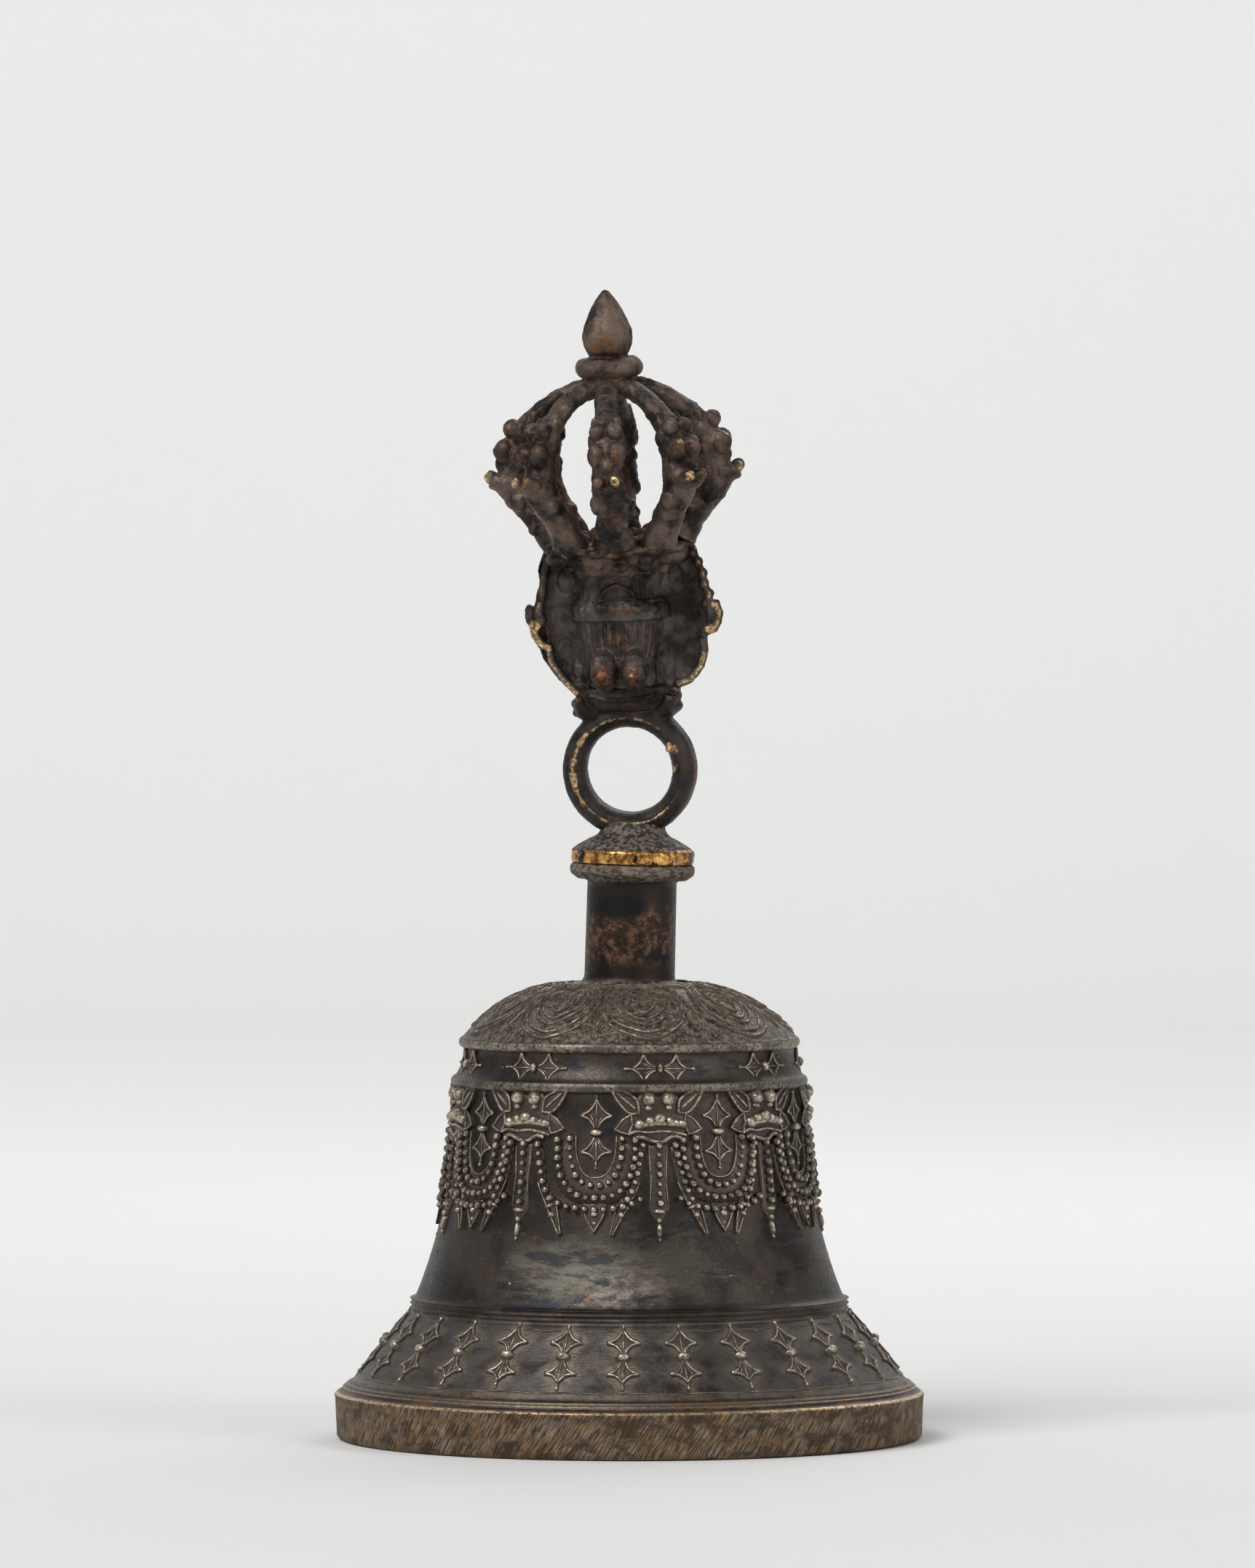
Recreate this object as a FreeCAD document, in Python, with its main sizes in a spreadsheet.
import FreeCAD, Part
import os
import re
import Sketcher
from FreeCAD import Vector

# Ritual bell with a ringed vajra handle.
# The origin is the centre of the mouth's rim, on the surface that the bell stands on.
# +Z is up, and the side that a viewer sees first faces -Y. Lengths are in millimetres, angles in degrees.

driving_sizes = [
    # bell
    ("lip_radius", 46.2, "widest radius, at the top of the lip band"),
    ("lip_inset", 0.8, "how far the band's foot draws in"),
    ("lip_height", 7.2, "height of the lip band"),
    ("lip_wall", 4.4, "wall at the lip"),
    ("bevel_width", 2.8, "step from the band in to the skirt"),
    ("bevel_rise", 2.1, "height of that step"),
    ("crown_height", 71.3, "rim to crown"),
    ("bell_wall", 2.9, "wall of the waist and skirt"),
    ("crown_wall", 3.2, "wall of the crown"),
    ("crown_hole_radius", 2.2, "hole for the shank"),
    ("bead_proud", 0.9, "bead at the top of the skirt"),
    ("ridge_proud", 0.5, "ridges on each side of the shoulder band"),
    # neck
    ("neck_radius", 7.05, "outside of the neck"),
    ("neck_bore_radius", 4.6, "hollow of the neck"),
    ("neck_length", 18.7, "crown to the flange's top"),
    ("neck_lean", 1.5, "angle to the right"),
    ("neck_pitch", 1.0, "angle to the front"),
    ("neck_root", 1.2, "slope where the neck meets the crown"),
    ("flange_radius", 9.75, "outside of the flange"),
    ("flange_height", 2.4, "edge of the flange"),
    ("flange_chamfer", 1.1, "slope under the flange"),
    # handle collar
    ("disc_radius", 9.65, "outside of the brass disc"),
    ("disc_height", 2.2, "edge of the brass disc"),
    ("collar_height", 5.2, "disc's foot to the waist under the ring"),
    ("waist_radius", 5.2, "waist under the ring"),
    ("spigot_length", 2.0, "spigot that centres the handle in the neck"),
    ("spigot_clearance", 0.3, "spigot to neck bore"),
    # handle as a whole
    ("handle_lean", 3.0, "angle to the left"),
    ("handle_pitch", 5.5, "angle to the front"),
    ("handle_turn", 7.5, "turn about its own axis, front to the left"),
    # finger ring
    ("ring_rise", 9.7, "waist to the ring's centre"),
    ("ring_radius", 10.55, "outside of the ring"),
    ("ring_bore_radius", 6.7, "bore of the ring"),
    ("ring_band", 2.4, "length of the straight bore"),
    ("ring_flare", 1.7, "widening from the bore to each face"),
    ("ring_depth", 7.0, "face to face"),
    ("ring_edge", 1.2, "slope of the outer edges"),
    ("shoulder_width", 16.0, "shoulder block above the ring"),
    ("shoulder_depth", 10.2, "the same, front to back"),
    ("shoulder_drop", 7.4, "height of the shoulder block"),
    # head
    ("head_base", 23.0, "waist to the underside of the head"),
    ("head_height", 19.5, "head, chin to the seat"),
    ("head_width", 14.8, "across the temples"),
    ("head_depth", 12.2, "front to back"),
    ("nape_radius", 6.0, "nape and jaw, below the head's oval"),
    ("curl_radius", 2.1, "curls at the nape"),
    ("curl_proud", 0.9, "how far they stand out from the nape"),
    ("curl_spacing", 4.7, "between the curls' centres"),
    ("fillet_band_width", 2.2, "height of the head band"),
    ("fillet_band_proud", 0.7, "how far the head band stands out"),
    # crown leaves
    ("leaf_reach", 15.4, "axis to the tip of the leaf's curl"),
    ("leaf_height", 23.6, "leaf, foot to top"),
    ("leaf_wall", 1.3, "thickness of the leaf"),
    ("leaf_hollow", 8.5, "radius of the leaf's hollow"),
    ("leaf_seat_gap", 0.3, "leaf to lotus seat"),
    # lotus seat and cage
    ("seat_height", 3.0, "lotus seat"),
    ("seat_foot_radius", 7.5, "seat at the head"),
    ("seat_radius", 11.2, "seat at its rim"),
    ("seat_edge", 0.8, "height of the rim"),
    ("cage_height", 26.0, "seat to the underside of the finial collar"),
    ("prong_reach", 20.5, "axis to the tip of a snout"),
    ("prong_width", 5.4, "across the eyes"),
    ("prong_top_width", 3.3, "where the prong meets the hub"),
    ("prong_phase", 4.5, "turn of the cage on the seat"),
    ("hub_depth", 3.0, "hub below the collar"),
    ("bar_width", 2.1, "square bar inside the cage"),
    # finial
    ("knop_radius", 5.3, "widest radius of the finial collar"),
    ("knop_height", 3.4, "finial collar"),
    ("bud_radius", 3.8, "widest radius of the bud"),
    ("bud_height", 10.2, "bud"),
    # shank, link and clapper
    ("shank_radius", 1.5, "iron shank through the crown"),
    ("shank_fit", 0.1, "shank to pitch and to washer"),
    ("fill_fit", 0.1, "pitch to neck bore"),
    ("fill_gap", 0.3, "pitch to the spigot"),
    ("washer_radius", 5.2, "washer under the crown"),
    ("washer_thickness", 0.9, "the same"),
    ("shank_collar_radius", 2.6, "collar that carries the washer"),
    ("shank_collar_height", 0.8, "the same"),
    ("eye_radius", 3.2, "shank eye, to the middle of its wire"),
    ("eye_wire", 1.1, "half the thickness of the eye's wire"),
    ("link_radius", 2.6, "ends of the link, to the middle of its wire"),
    ("link_straight", 6.0, "straight side of the link"),
    ("link_wire", 0.9, "half the thickness of the link's wire"),
    ("hang_gap", 0.3, "play where one loop hangs in another"),
    ("clapper_eye_radius", 2.6, "clapper eye, to the middle of its wire"),
    ("clapper_wire", 0.9, "half the thickness of that wire"),
    ("rod_radius", 1.2, "clapper rod"),
    ("rod_length", 27.5, "clapper rod below its eye"),
    ("rod_fit", 0.1, "rod to its socket"),
    ("socket_depth", 5.0, "socket in the striker"),
    ("striker_height", 21.0, "clapper's striker"),
    ("striker_radius", 5.2, "its widest part, to the corners"),
]

doc = FreeCAD.newDocument("ritual_bell")
sheet = doc.addObject("Spreadsheet::Sheet", "sizes")
for row, (name, size, note) in enumerate(driving_sizes, start=1):
    sheet.set(f"A{row}", name)
    sheet.set(f"B{row}", str(size))
    sheet.set(f"C{row}", note)
    sheet.setAlias(f"B{row}", name)
doc.recompute()

size_name = re.compile(r"\b(?!sin\b|cos\b|tan\b|sqrt\b|placement\b|vector\b|rotation\b)([a-z]\w*)")
pieces = []


def bound(text):
    """An expression over the sheet's names, as an object outside the sheet has to write it."""
    return size_name.sub(r"sizes.\1", text)


def value(text):
    """What an expression over the sheet's names comes to now."""
    return float(sheet.evalExpression(text))


def frame(name, place, turns):
    """A coordinate system that pieces are placed in. The turns are about X, Y and Z in that order."""
    about_x, about_y, about_z = turns
    turned = (f"rotation(vector(1; 0; 0); {about_x}) * rotation(vector(0; 1; 0); {about_y})"
              f" * rotation(vector(0; 0; 1); {about_z})")
    system = doc.addObject("PartDesign::CoordinateSystem", name)
    system.setExpression("Placement", bound(f"placement({place}; {turned})"))
    return system


def new_body(label, placement=None):
    body = doc.addObject("PartDesign::Body", label)
    body.Label = label
    if placement:
        body.setExpression("Placement", placement)
    return body


def sketch_on(body, role, name, offset=None):
    """A sketch on one of the body's own origin planes, shifted or turned there by an offset."""
    plane = next(feature for feature in body.Origin.OriginFeatures if feature.Role == role)
    sketch = body.newObject("Sketcher::SketchObject", name)
    sketch.AttachmentSupport = (plane, [""])
    sketch.MapMode = "FlatFace"
    if offset:
        sketch.setExpression("AttachmentOffset", bound(offset))
    return sketch


def shifted(across="0", up="0", out="0"):
    return f"placement(vector({across}; {up}; {out}); rotation(vector(0; 0; 1); 0))"


def constrain(sketch, constraint, expression):
    index = sketch.addConstraint(constraint)
    sketch.setExpression(f"Constraints[{index}]", bound(expression))


def pin_point(sketch, edge, point, across, up):
    """Ties one point of an edge to its place. A zero puts it on the sketch's axis instead."""
    for expression, kind, axis in ((across, "DistanceX", -2), (up, "DistanceY", -1)):
        if expression == "0":
            sketch.addConstraint(Sketcher.Constraint("PointOnObject", edge, point, axis))
        else:
            distance = Sketcher.Constraint(kind, -1, 1, edge, point, value(expression))
            constrain(sketch, distance, expression)


def arc_between(start, end, radius):
    """A short arc on the left of the chord's bulge for a positive radius: its centre is on the left."""
    chord = end - start
    half = chord.Length / 2
    to_left = Vector(-chord.y, chord.x, 0).normalize()
    depth = (radius * radius - half * half) ** 0.5
    centre = (start + end) * 0.5 + to_left * (depth if radius > 0 else -depth)
    first, last = (start, end) if radius > 0 else (end, start)
    angles = [Vector(1, 0, 0).getAngle(point - centre) * (1 if point.y >= centre.y else -1)
              for point in (first, last)]
    return Part.ArcOfCircle(Part.Circle(centre, Vector(0, 0, 1), abs(radius)), angles[0], angles[1])


def outline(sketch, corners):
    """Closes a loop of lines and arcs through corners of (across, up) or (across, up, radius).

    A radius makes the edge that starts at the corner an arc, whose centre lies on the left of the
    way for a positive one and on the right for one that starts with a minus."""
    points = [Vector(value(corner[0]), value(corner[1]), 0) for corner in corners]
    ends = []
    for number, corner in enumerate(corners):
        start = points[number]
        end = points[(number + 1) % len(corners)]
        if len(corner) == 3:
            radius = value(corner[2])
            edge = sketch.addGeometry(arc_between(start, end, radius), False)
            ends.append((edge, 1, 2) if radius > 0 else (edge, 2, 1))
        else:
            edge = sketch.addGeometry(Part.LineSegment(start, end), False)
            ends.append((edge, 1, 2))
    for number, corner in enumerate(corners):
        edge, start, end = ends[number]
        before, _, before_end = ends[number - 1]
        sketch.addConstraint(Sketcher.Constraint("Coincident", before, before_end, edge, start))
        pin_point(sketch, edge, start, corner[0], corner[1])
        if len(corner) == 3:
            size = corner[2].lstrip("-")
            constrain(sketch, Sketcher.Constraint("Radius", edge, value(size)), size)


def ring_line(sketch, radius):
    """One circle about the sketch's origin."""
    circle = Part.Circle(Vector(0, 0, 0), Vector(0, 0, 1), value(radius))
    edge = sketch.addGeometry(circle, False)
    sketch.addConstraint(Sketcher.Constraint("Coincident", edge, 3, -1, 1))
    constrain(sketch, Sketcher.Constraint("Radius", edge, value(radius)), radius)


def revolve(body, sketch, name, axis="V_Axis", kind="PartDesign::Revolution"):
    turned = body.newObject(kind, name)
    turned.Profile = sketch
    turned.ReferenceAxis = (sketch, [axis])
    turned.Angle = 360
    return turned


def pad(body, sketch, name, length, midplane=False, downwards=False):
    padded = body.newObject("PartDesign::Pad", name)
    padded.Profile = sketch
    padded.Midplane = midplane
    padded.Reversed = downwards
    padded.setExpression("Length", bound(length))
    return padded


def pocket_through(body, sketch, name):
    cut = body.newObject("PartDesign::Pocket", name)
    cut.Profile = sketch
    cut.Type = 1
    cut.Midplane = True
    return cut


def boolean(kind, name, base, tool, placement=None):
    result = doc.addObject(kind, name)
    result.Label = name
    result.Base = base
    result.Tool = tool
    if placement:
        result.setExpression("Placement", placement)
    return result


def oval_prism(name, width, depth, foot, rise):
    """An upright bar of oval section."""
    oval = doc.addObject("Part::Ellipse", f"{name}_oval")
    oval.setExpression("MajorRadius", bound(f"({width}) / 2"))
    oval.setExpression("MinorRadius", bound(f"({depth}) / 2"))
    oval.setExpression("Placement.Base.z", bound(foot))
    prism = doc.addObject("Part::Extrusion", name)
    prism.Base = oval
    prism.DirMode = "Normal"
    prism.Solid = True
    prism.setExpression("LengthFwd", bound(rise))
    return prism


def oval_loft(name, width, depth, foot, rise, shares):
    """A loft through ovals. Each row of shares is a height and a width, as shares of those sizes."""
    ovals = []
    for number, (height_share, width_share) in enumerate(shares, start=1):
        oval = doc.addObject("Part::Ellipse", f"{name}_oval_{number}")
        oval.setExpression("MajorRadius", bound(f"{width_share} * {width} / 2"))
        oval.setExpression("MinorRadius", bound(f"{width_share} * {depth} / 2"))
        oval.setExpression("Placement.Base.z", bound(f"{foot} + {height_share} * {rise}"))
        ovals.append(oval)
    loft = doc.addObject("Part::Loft", name)
    loft.Sections = ovals
    loft.Solid = True
    loft.Ruled = True
    return loft


def eight_sided(name, radius, foot, rise, shares):
    """What four slabs of one outline, 45 degrees apart, have in common.

    Each row of shares is a height and half the width across the flats."""
    slabs = []
    for number in range(4):
        turn = f"placement(vector(0; 0; 0); rotation(vector(0; 0; 1); {number} * 45))"
        slab = new_body(f"{name}_slab_{number + 1}", bound(turn))
        side = sketch_on(slab, "XZ_Plane", f"{name}_side_{number + 1}", shifted(up=foot))
        edge = [(width_share, f"{height_share} * {rise}" if height_share else "0")
                for height_share, width_share in shares]
        outline(side, [(f"{width_share} * {radius}", height) for width_share, height in edge]
                + [(f"-{width_share} * {radius}", height) for width_share, height in reversed(edge)])
        pad(slab, side, f"{name}_thickness_{number + 1}", f"3 * {radius}", midplane=True)
        slabs.append(slab)
    common = doc.addObject("Part::MultiCommon", name)
    common.Label = name
    common.Shapes = slabs
    return common


# Bell

# stations on the bell's outside, as shares of lip_radius and of crown_height
skirt_top_share = (0.749, 0.275)
waist_foot_share = (0.725, 0.313)
waist_hollow_share = (0.658, 0.439)
waist_share = (0.615, 0.589)
shoulder_foot_share = (0.589, 0.771)
band_foot_share = (0.582, 0.808)
band_top_share = (0.561, 0.858)
dome_foot_share = (0.569, 0.878)
dome_low_share = (0.515, 0.930)
dome_high_share = (0.400, 0.970)
crown_foot_share = (0.260, 0.994)


def station(share):
    radius_share, height_share = share
    return f"{radius_share} * lip_radius", f"{height_share} * crown_height"


def make_bell():
    body = new_body("bell_body")
    skirt, skirt_level = station(skirt_top_share)
    waist_foot, waist_foot_level = station(waist_foot_share)
    hollow, hollow_level = station(waist_hollow_share)
    waist, waist_level = station(waist_share)
    shoulder, shoulder_level = station(shoulder_foot_share)
    band_foot, band_foot_level = station(band_foot_share)
    band_top, band_top_level = station(band_top_share)
    dome_foot, dome_foot_level = station(dome_foot_share)
    dome_low, dome_low_level = station(dome_low_share)
    dome_high, dome_high_level = station(dome_high_share)
    crown_foot, crown_foot_level = station(crown_foot_share)
    wall = sketch_on(body, "XZ_Plane", "bell_section")
    outline(wall, [
        ("lip_radius - lip_inset", "0"),
        ("lip_radius", "lip_height"),
        ("lip_radius - bevel_width", "lip_height + bevel_rise"),
        (skirt, skirt_level),
        (f"{waist_foot} + bead_proud", f"0.3 * {skirt_level} + 0.7 * {waist_foot_level}"),
        (waist_foot, waist_foot_level),
        (hollow, hollow_level),
        (waist, waist_level),
        (shoulder, shoulder_level),
        (f"{shoulder} + ridge_proud", f"0.5 * {shoulder_level} + 0.5 * {band_foot_level}"),
        (band_foot, band_foot_level),
        (band_top, band_top_level),
        (dome_foot, dome_foot_level),
        (dome_low, dome_low_level),
        (dome_high, dome_high_level),
        (crown_foot, crown_foot_level),
        ("neck_radius", "crown_height"),
        ("crown_hole_radius", "crown_height"),
        ("crown_hole_radius", "crown_height - crown_wall"),
        (crown_foot, "crown_height - crown_wall"),
        (f"{dome_low} - bell_wall", f"{dome_low_level} - crown_wall"),
        (f"{waist} - bell_wall", waist_level),
        (f"{waist_foot} - bell_wall", waist_foot_level),
        ("lip_radius - lip_inset - lip_wall", "0"),
    ])
    revolve(body, wall, "bell_wall_turned")
    leaned = ("placement(vector(0; crown_height; 0); rotation(vector(0; 0; 1); -neck_lean)"
              " * rotation(vector(1; 0; 0); neck_pitch))")
    neck = sketch_on(body, "XZ_Plane", "neck_section", leaned)
    outline(neck, [
        ("neck_bore_radius", "-0.5 * crown_wall"),
        ("neck_radius + neck_root", "-0.5 * crown_wall"),
        ("neck_radius + neck_root", "0"),
        ("neck_radius", "neck_root"),
        ("neck_radius", "neck_length - flange_height - flange_chamfer"),
        ("flange_radius", "neck_length - flange_height"),
        ("flange_radius", "neck_length"),
        ("neck_bore_radius", "neck_length"),
    ])
    revolve(body, neck, "neck_turned")
    pieces.append(body)


# the shoulder block from its foot up, as shares of its height and of its width and depth
shoulder_shares = [(0, 0.92), (0.3, 0.96), (0.7, 1), (1, 0.95)]

# the same, for the head from the top of its nape to the lotus seat
head_shares = [(0.25, 0.86), (0.35, 0.91), (0.45, 0.96), (0.6, 1), (0.8, 0.95), (0.9, 0.99), (1, 1.04)]


# Handle frames

neck_frame = frame("neck_frame", "vector(0; 0; crown_height)", ("neck_pitch", "neck_lean", "0"))
waist_place = ("vector(0; 0; crown_height) + rotation(vector(1; 0; 0); neck_pitch)"
               " * (rotation(vector(0; 1; 0); neck_lean) * vector(0; 0; neck_length + collar_height))")
handle_frame = frame("handle_frame", waist_place, ("handle_pitch", "-handle_lean", "-handle_turn"))
in_neck = "neck_frame.Placement"
in_handle = "handle_frame.Placement"


def make_collar():
    blank = new_body("collar_blank", in_neck)
    section = sketch_on(blank, "XZ_Plane", "collar_section", shifted(up="neck_length"))
    outline(section, [
        ("0", "-spigot_length"),
        ("neck_bore_radius - spigot_clearance", "-spigot_length"),
        ("neck_bore_radius - spigot_clearance", "0"),
        ("disc_radius", "0"),
        ("disc_radius", "disc_height"),
        ("0.8 * disc_radius", "0.65 * collar_height"),
        ("waist_radius", "collar_height"),
        ("waist_radius", "1.2 * collar_height"),
        ("0", "1.2 * collar_height"),
    ])
    revolve(blank, section, "collar_turned")
    above = doc.addObject("Part::Cylinder", "room_above_waist")
    above.setExpression("Radius", bound("2 * disc_radius"))
    above.setExpression("Height", bound("collar_height"))
    above.setExpression("Placement", in_handle)
    pieces.append(boolean("Part::Cut", "handle_collar", blank, above))


def make_ring():
    disc = new_body("ring_disc")
    section = sketch_on(disc, "YZ_Plane", "ring_section", shifted(up="ring_rise"))
    half_depth = "0.5 * ring_depth"
    outline(section, [
        (f"-{half_depth}", "0"),
        (half_depth, "0"),
        (half_depth, "ring_radius - ring_edge"),
        (f"{half_depth} - ring_edge", "ring_radius"),
        (f"-{half_depth} + ring_edge", "ring_radius"),
        (f"-{half_depth}", "ring_radius - ring_edge"),
    ])
    revolve(disc, section, "ring_turned", axis="H_Axis")
    below = sketch_on(disc, "XZ_Plane", "foot_section")
    outline(below, [
        ("-ring_radius", "-ring_radius"),
        ("ring_radius", "-ring_radius"),
        ("ring_radius", "0"),
        ("-ring_radius", "0"),
    ])
    pocket_through(disc, below, "foot_cut")
    block = oval_loft("shoulder_block", "shoulder_width", "shoulder_depth",
                      "head_base - shoulder_drop", "shoulder_drop", shoulder_shares)
    solid_ring = boolean("Part::Fuse", "ring_and_shoulder", disc, block)
    bore = new_body("ring_bore")
    bore_section = sketch_on(bore, "YZ_Plane", "bore_section", shifted(up="ring_rise"))
    half_band = "0.5 * ring_band"
    mouth = "ring_bore_radius + ring_flare"
    outline(bore_section, [
        ("-ring_depth", "0"),
        ("ring_depth", "0"),
        ("ring_depth", mouth),
        (half_depth, mouth),
        (half_band, "ring_bore_radius"),
        (f"-{half_band}", "ring_bore_radius"),
        (f"-{half_depth}", mouth),
        ("-ring_depth", mouth),
    ])
    revolve(bore, bore_section, "bore_turned", axis="H_Axis")
    pieces.append(boolean("Part::Cut", "finger_ring", solid_ring, bore, in_handle))


def make_head_form(name):
    """The head without its curls: the round nape, the lofted core and the band round it."""
    nape = doc.addObject("Part::Cylinder", f"{name}_nape")
    nape.setExpression("Radius", bound("nape_radius"))
    nape.setExpression("Height", bound(f"{head_shares[0][0]} * head_height"))
    nape.setExpression("Placement.Base.z", bound("head_base"))
    form = doc.addObject("Part::MultiFuse", name)
    form.Shapes = [
        nape,
        oval_loft(f"{name}_core", "head_width", "head_depth", "head_base", "head_height", head_shares),
        oval_prism(f"{name}_band", "head_width + 2 * fillet_band_proud", "head_depth + 2 * fillet_band_proud",
                   "head_base + 0.6 * head_height - fillet_band_width / 2", "fillet_band_width"),
    ]
    return form


def make_head():
    shapes = [make_head_form("head_form")]
    for side, sign in (("left", "-"), ("right", "")):
        curl = doc.addObject("Part::Cylinder", f"curl_{side}")
        curl.setExpression("Radius", bound("curl_radius"))
        curl.setExpression("Height", bound("nape_radius + curl_proud"))
        curl.setExpression("Placement", bound(
            f"placement(vector({sign}curl_spacing / 2; 0; head_base + 1.25 * curl_radius);"
            " rotation(vector(1; 0; 0); 90))"))
        shapes.append(curl)
    head = doc.addObject("Part::MultiFuse", "head")
    head.Label = "head"
    head.Shapes = shapes
    head.setExpression("Placement", in_handle)
    pieces.append(head)


# the right leaf's edge as seen from the front, as shares of leaf_reach and leaf_height
leaf_edge_shares = [
    (0.32, 0), (0.49, 0), (0.69, 0.035), (0.83, 0.19), (0.87, 0.32), (0.87, 0.37), (0.97, 0.455),
    (1, 0.53), (0.93, 0.575), (0.88, 0.54), (0.857, 0.64), (0.82, 0.7), (0.84, 0.79), (0.78, 0.9),
    (0.72, 1), (0.32, 1),
]


# where a leaf's wall starts and ends about the middle of its hollow, in degrees
leaf_plan_angles = ("22", "112")


def make_leaf(label, sign):
    """One crown leaf: a hollow wall in plan, cut to its edge as seen from the front."""
    blank = new_body(f"{label}_blank")
    plan = sketch_on(blank, "XY_Plane", f"{label}_plan", shifted(out="head_base"))
    outer = "leaf_hollow + leaf_wall"
    centre_x = "0.39 * leaf_reach"
    centre_y = "-0.39 * leaf_reach"
    turn = sign
    inside_out = "" if sign else "-"

    def plan_point(radius, angle):
        return (f"{sign}({centre_x} + ({radius}) * cos({angle}))", f"{centre_y} + ({radius}) * sin({angle})")

    rim_angle, root_angle = leaf_plan_angles
    outline(plan, [
        (*plan_point(outer, rim_angle), f"{turn}({outer})"),
        plan_point(outer, root_angle),
        (*plan_point("leaf_hollow", root_angle), f"{inside_out}leaf_hollow"),
        plan_point("leaf_hollow", rim_angle),
    ])
    pad(blank, plan, f"{label}_wall", "leaf_height")
    around = sketch_on(blank, "XZ_Plane", f"{label}_edge", shifted(up="head_base"))
    outline(around, [
        (f"{sign}{across_share} * leaf_reach", f"{up_share} * leaf_height" if up_share else "0")
        for across_share, up_share in leaf_edge_shares
    ])
    outline(around, [
        ("-2 * leaf_reach", "-leaf_height"),
        ("2 * leaf_reach", "-leaf_height"),
        ("2 * leaf_reach", "2 * leaf_height"),
        ("-2 * leaf_reach", "2 * leaf_height"),
    ])
    pocket_through(blank, around, f"{label}_trim")
    room = doc.addObject("Part::Cylinder", f"{label}_seat_room")
    room.setExpression("Radius", bound("seat_radius + leaf_seat_gap"))
    room.setExpression("Height", bound("leaf_height"))
    room.setExpression("Placement.Base.z", bound("head_base + head_height - leaf_seat_gap"))
    tool = boolean("Part::Fuse", f"{label}_room", room, make_head_form(f"{label}_head_room"))
    pieces.append(boolean("Part::Cut", label, blank, tool, in_handle))


def make_seat():
    body = new_body("lotus_seat", in_handle)
    section = sketch_on(body, "XZ_Plane", "seat_section", shifted(up="head_base + head_height"))
    outline(section, [
        ("0", "0"),
        ("seat_foot_radius", "0"),
        ("seat_radius", "seat_height - seat_edge"),
        ("seat_radius", "seat_height"),
        ("0", "seat_height"),
    ])
    revolve(body, section, "seat_turned")
    pieces.append(body)


seat_top = "head_base + head_height + seat_height"
hub_flat = "prong_top_width / 2 / tan(22.5)"

# a prong's outline from the hub over its brow, eye and snout to its foot and back up the inside,
# as shares of prong_reach and of cage_height; None stands for the hub's flat
prong_outline_shares = [
    (None, 0.985), (0.425, 0.928), (0.615, 0.84), (0.745, 0.785), (0.795, 0.725), (0.8, 0.675),
    (0.86, 0.665), (0.9, 0.61), (0.898, 0.53), (0.87, 0.495), (0.93, 0.47), (0.99, 0.445),
    (1, 0.405), (0.98, 0.37), (0.86, 0.285), (0.735, 0.21), (0.7, 0.145), (0.6, 0.03), (0.54, 0),
    (0.39, 0), (0.42, 0.065), (0.545, 0.22), (0.625, 0.36), (0.635, 0.53), (0.6, 0.635),
    (0.505, 0.74), (0.355, 0.83), (None, 0.88),
]

# a prong's half width up its height, as shares of prong_width; None stands for its width at the hub
prong_width_shares = [(0, 0.3), (0.15, 0.42), (0.36, 0.46), (0.44, 0.4), (0.5, 0.5), (0.62, 0.5),
                      (0.7, 0.42), (0.85, None), (1, None)]


def make_prong(number):
    """One outer prong. It stands on the seat and leans back to a flat of the hub."""
    turn = f"prong_phase + {number - 1} * 45"
    placement = f"{in_handle} * {bound(f'placement(vector(0; 0; 0); rotation(vector(0; 0; 1); {turn}))')}"
    body = new_body(f"prong_{number}", placement)
    side = sketch_on(body, "XZ_Plane", f"prong_{number}_side", shifted(up=seat_top))
    outline(side, [
        (f"{across_share} * prong_reach" if across_share else hub_flat,
         f"{up_share} * cage_height" if up_share else "0")
        for across_share, up_share in prong_outline_shares
    ])
    pad(body, side, f"prong_{number}_blade", "prong_width", midplane=True)
    front = sketch_on(body, "YZ_Plane", f"prong_{number}_front", shifted(up=seat_top))
    for sign in ("", "-"):
        edge = [
            (f"{sign}{width_share} * prong_width" if width_share else f"{sign}prong_top_width / 2",
             f"{up_share} * cage_height" if up_share else "0")
            for up_share, width_share in prong_width_shares
        ]
        outline(front, edge + [
            (f"{sign}prong_width", "cage_height"),
            (f"{sign}prong_width", "0"),
        ])
    pocket_through(body, front, f"prong_{number}_taper")
    pieces.append(body)


def make_center_prong():
    body = new_body("center_prong", in_handle)
    square = sketch_on(body, "XY_Plane", "bar_square", shifted(out=seat_top))
    outline(square, [
        ("-bar_width / 2", "-bar_width / 2"),
        ("bar_width / 2", "-bar_width / 2"),
        ("bar_width / 2", "bar_width / 2"),
        ("-bar_width / 2", "bar_width / 2"),
    ])
    pad(body, square, "bar", "cage_height - hub_depth")
    pieces.append(body)


# the eight-sided bud from its foot up, as shares of its height and of its radius to the flats
bud_shares = [(0, 0.9), (0.07, 0.86), (0.26, 0.96), (0.45, 0.88), (0.65, 0.68), (0.85, 0.37), (1, 0.06)]


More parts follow.
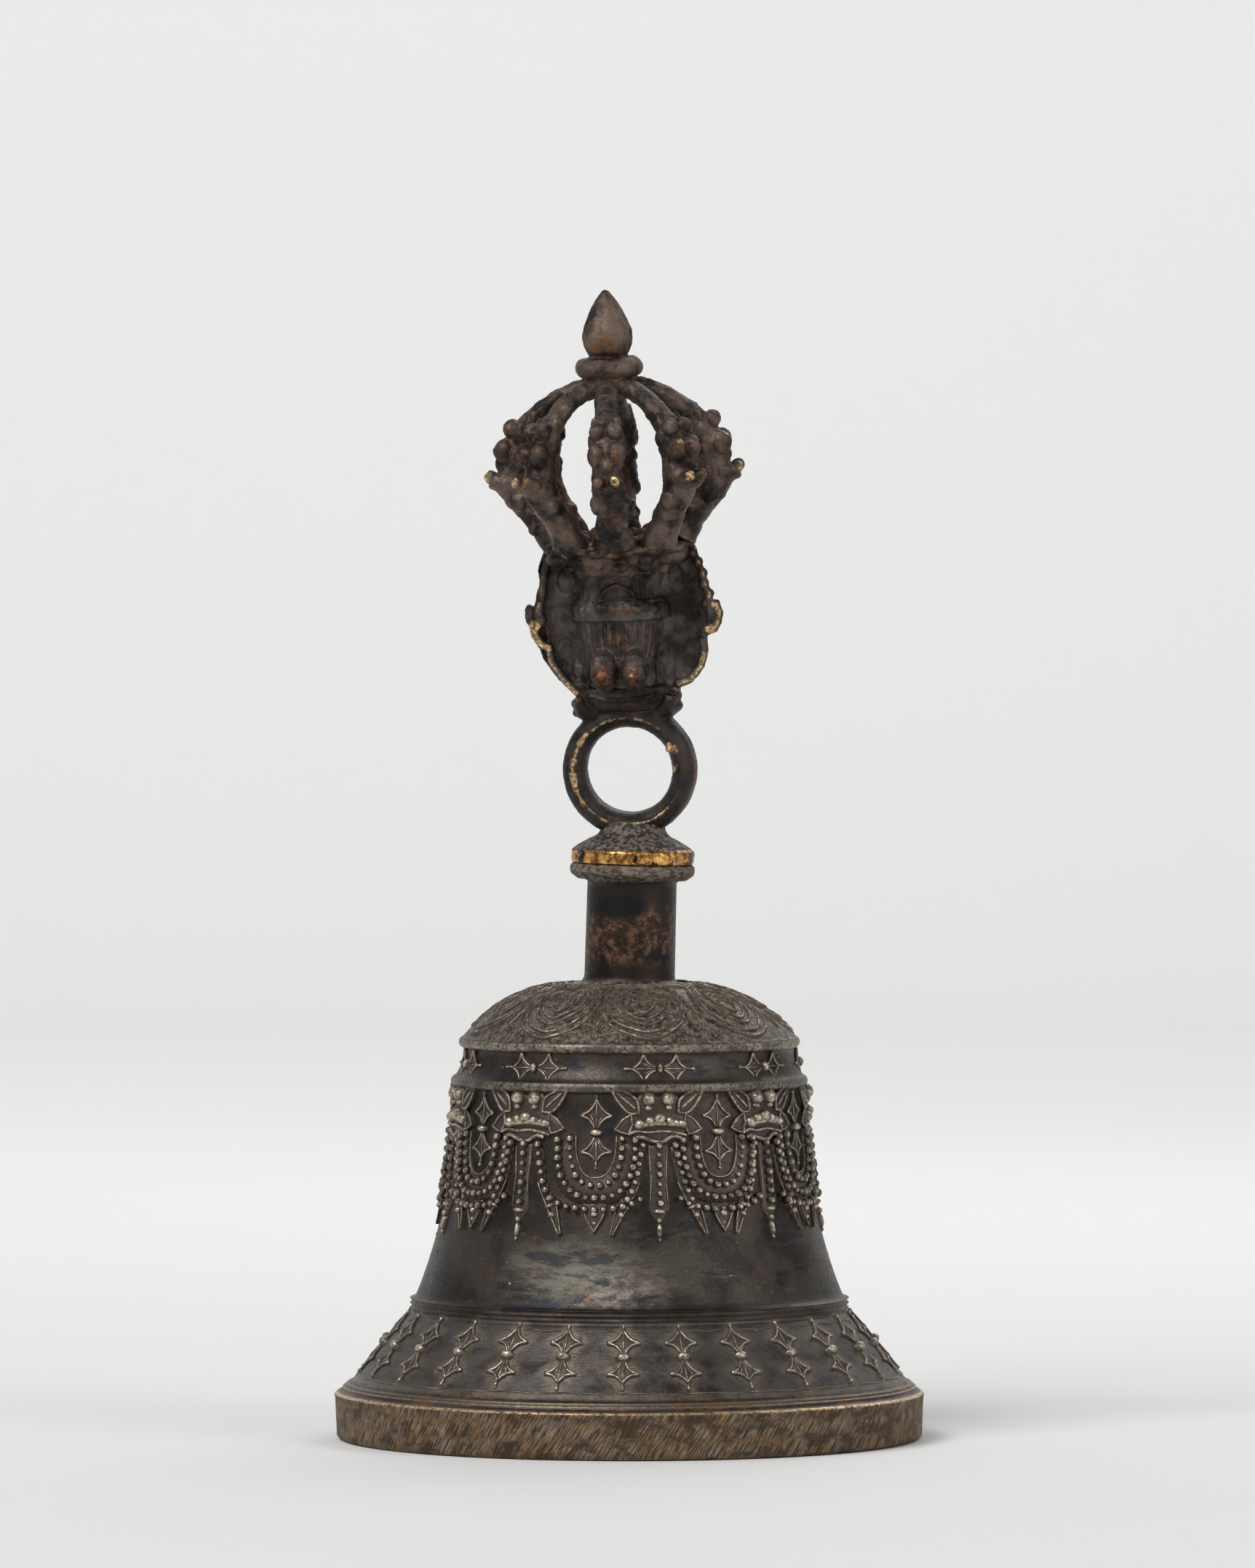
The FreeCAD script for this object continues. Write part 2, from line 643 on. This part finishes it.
def make_finial():
    hub = doc.addObject("Part::Prism", "hub")
    hub.Polygon = 8
    hub.setExpression("Circumradius", bound(f"{hub_flat} / cos(22.5)"))
    hub.setExpression("Height", bound("hub_depth"))
    hub.setExpression("Placement", bound(
        f"placement(vector(0; 0; {seat_top} + cage_height - hub_depth);"
        " rotation(vector(0; 0; 1); prong_phase + 22.5))"))
    knop = new_body("knop")
    section = sketch_on(knop, "XZ_Plane", "knop_section", shifted(up=f"{seat_top} + cage_height"))
    outline(section, [
        ("0", "0"),
        ("0.87 * knop_radius", "0"),
        ("knop_radius", "0.25 * knop_height"),
        ("knop_radius", "0.6 * knop_height"),
        ("0.72 * knop_radius", "knop_height"),
        ("0", "knop_height"),
    ])
    revolve(knop, section, "knop_turned")
    pieces.append(boolean("Part::Fuse", "finial_collar", hub, knop, in_handle))
    bud = eight_sided("finial_bud", "bud_radius", f"{seat_top} + cage_height + knop_height",
                      "bud_height", bud_shares)
    bud.setExpression("Placement", in_handle)
    pieces.append(bud)


# Shank, link and clapper, from the crown down

washer_level = "crown_height - crown_wall - washer_thickness"
eye_level = f"{washer_level} - shank_collar_height - 0.6 * eye_wire - eye_radius"
link_hinge_level = f"{eye_level} - eye_radius"
link_top_level = f"{link_hinge_level} + eye_wire + hang_gap + link_wire"
clapper_hinge_level = f"{link_top_level} - 2 * link_radius - link_straight"
clapper_eye_level = f"{clapper_hinge_level} + link_wire + hang_gap + clapper_wire - clapper_eye_radius"
rod_end_level = f"{clapper_eye_level} - clapper_eye_radius - rod_length"


# an octagon's corners, as shares of the circle inside it
octagon_shares = [(-0.414, -1), (0.414, -1), (1, -0.414), (1, 0.414), (0.414, 1), (-0.414, 1),
                  (-1, 0.414), (-1, -0.414)]


def wire_loop(body, name, plane, level, radius, wire, straight="0"):
    """A loop of eight-sided wire, bent at twelve corners round a circle with two straight sides."""
    path = sketch_on(body, plane, f"{name}_path", shifted(up=level))
    corners = []
    for number in range(12):
        angle = 30 * number - 15
        end = f"+ {straight} / 2" if 1 <= number <= 6 else f"- {straight} / 2"
        reach = f"{radius} / cos(15)"
        corners.append((f"{reach} * cos({angle})", f"{reach} * sin({angle}) {end}"))
    outline(path, corners)
    foot = f"{level} - {straight} / 2 - {radius} * tan(15)"
    section = sketch_on(body, "XY_Plane", f"{name}_wire", shifted(out=foot))
    along_x = plane == "XZ_Plane"
    outline(section, [
        (f"{radius} + {across_share} * {wire}" if along_x else f"{across_share} * {wire}",
         f"{up_share} * {wire}" if along_x else f"{radius} + {up_share} * {wire}")
        for across_share, up_share in octagon_shares
    ])
    loop = body.newObject("PartDesign::AdditivePipe", name)
    loop.Profile = section
    loop.Spine = path
    loop.Transition = "Right corner"


def make_shank():
    body = new_body("tang_eye")
    wire_loop(body, "eye", "XZ_Plane", eye_level, "eye_radius", "eye_wire")
    shank = sketch_on(body, "XZ_Plane", "shank_section")
    outline(shank, [
        ("0", f"{washer_level} - shank_collar_height"),
        ("shank_collar_radius", f"{washer_level} - shank_collar_height"),
        ("shank_collar_radius", washer_level),
        ("shank_radius", washer_level),
        ("shank_radius", "crown_height + neck_length - spigot_length - 2 * fill_gap"),
        ("0", "crown_height + neck_length - spigot_length - 2 * fill_gap"),
    ])
    revolve(body, shank, "shank_turned")
    pieces.append(body)


def make_washer():
    body = new_body("crown_washer")
    section = sketch_on(body, "XZ_Plane", "washer_section", shifted(up=washer_level))
    outline(section, [
        ("shank_radius + shank_fit", "0"),
        ("washer_radius", "0"),
        ("washer_radius", "washer_thickness"),
        ("shank_radius + shank_fit", "washer_thickness"),
    ])
    revolve(body, section, "washer_turned")
    pieces.append(body)


def make_fill():
    plug = doc.addObject("Part::Cylinder", "fill_plug")
    plug.setExpression("Radius", bound("neck_bore_radius - fill_fit"))
    plug.setExpression("Height", bound("neck_length - spigot_length - 2 * fill_gap"))
    plug.setExpression("Placement", f"{in_neck} * {bound(shifted(out='fill_gap'))}")
    hole = doc.addObject("Part::Cylinder", "shank_hole")
    hole.setExpression("Radius", bound("shank_radius + shank_fit"))
    hole.setExpression("Height", bound("2 * crown_height"))
    pieces.append(boolean("Part::Cut", "neck_fill", plug, hole))


def make_link():
    body = new_body("clapper_link")
    middle = f"{link_top_level} - link_radius - 0.5 * link_straight"
    wire_loop(body, "link", "YZ_Plane", middle, "link_radius", "link_wire", "link_straight")
    pieces.append(body)


# the eight-sided striker from its striking end up, as shares of its height and of its radius to the corners
striker_shares = [(0, 0.39), (0.08, 0.72), (0.26, 0.923), (0.45, 0.87), (0.92, 0.48), (1, 0.43)]


def make_clapper():
    rod = new_body("clapper_rod")
    wire_loop(rod, "clapper_eye", "XZ_Plane", clapper_eye_level, "clapper_eye_radius", "clapper_wire")
    stem = sketch_on(rod, "XY_Plane", "rod_section", shifted(out=rod_end_level))
    ring_line(stem, "rod_radius")
    pad(rod, stem, "rod", "rod_length + 0.5 * clapper_wire")
    pieces.append(rod)
    blank = eight_sided("striker_blank", "striker_radius", f"{rod_end_level} + socket_depth - striker_height",
                        "striker_height", striker_shares)
    socket = doc.addObject("Part::Cylinder", "striker_socket")
    socket.setExpression("Radius", bound("rod_radius + rod_fit"))
    socket.setExpression("Height", bound("2 * socket_depth"))
    socket.setExpression("Placement.Base.z", bound(rod_end_level))
    pieces.append(boolean("Part::Cut", "clapper_striker", blank, socket))


make_bell()
make_collar()
make_ring()
make_head()
make_leaf("crown_leaf_right", "")
make_leaf("crown_leaf_left", "-")
make_seat()
for number in range(1, 9):
    make_prong(number)
make_center_prong()
make_finial()
make_shank()
make_washer()
make_fill()
make_link()
make_clapper()
doc.recompute()

for thing in doc.Objects:
    if "Invalid" in thing.State or "Error" in thing.State:
        raise RuntimeError(f"{thing.Label} did not build: {thing.State}")
for piece in pieces:
    if piece.Shape.isNull() or not piece.Shape.isValid() or not piece.Shape.Solids:
        raise RuntimeError(f"{piece.Label} has no valid solid")

os.makedirs("parts", exist_ok=True)
for piece in pieces:
    piece.Shape.exportStep(f"parts/{piece.Label}.step")
    print(f"{piece.Label}: {piece.Shape.Volume:.1f} mm3, {len(piece.Shape.Solids)} solid")
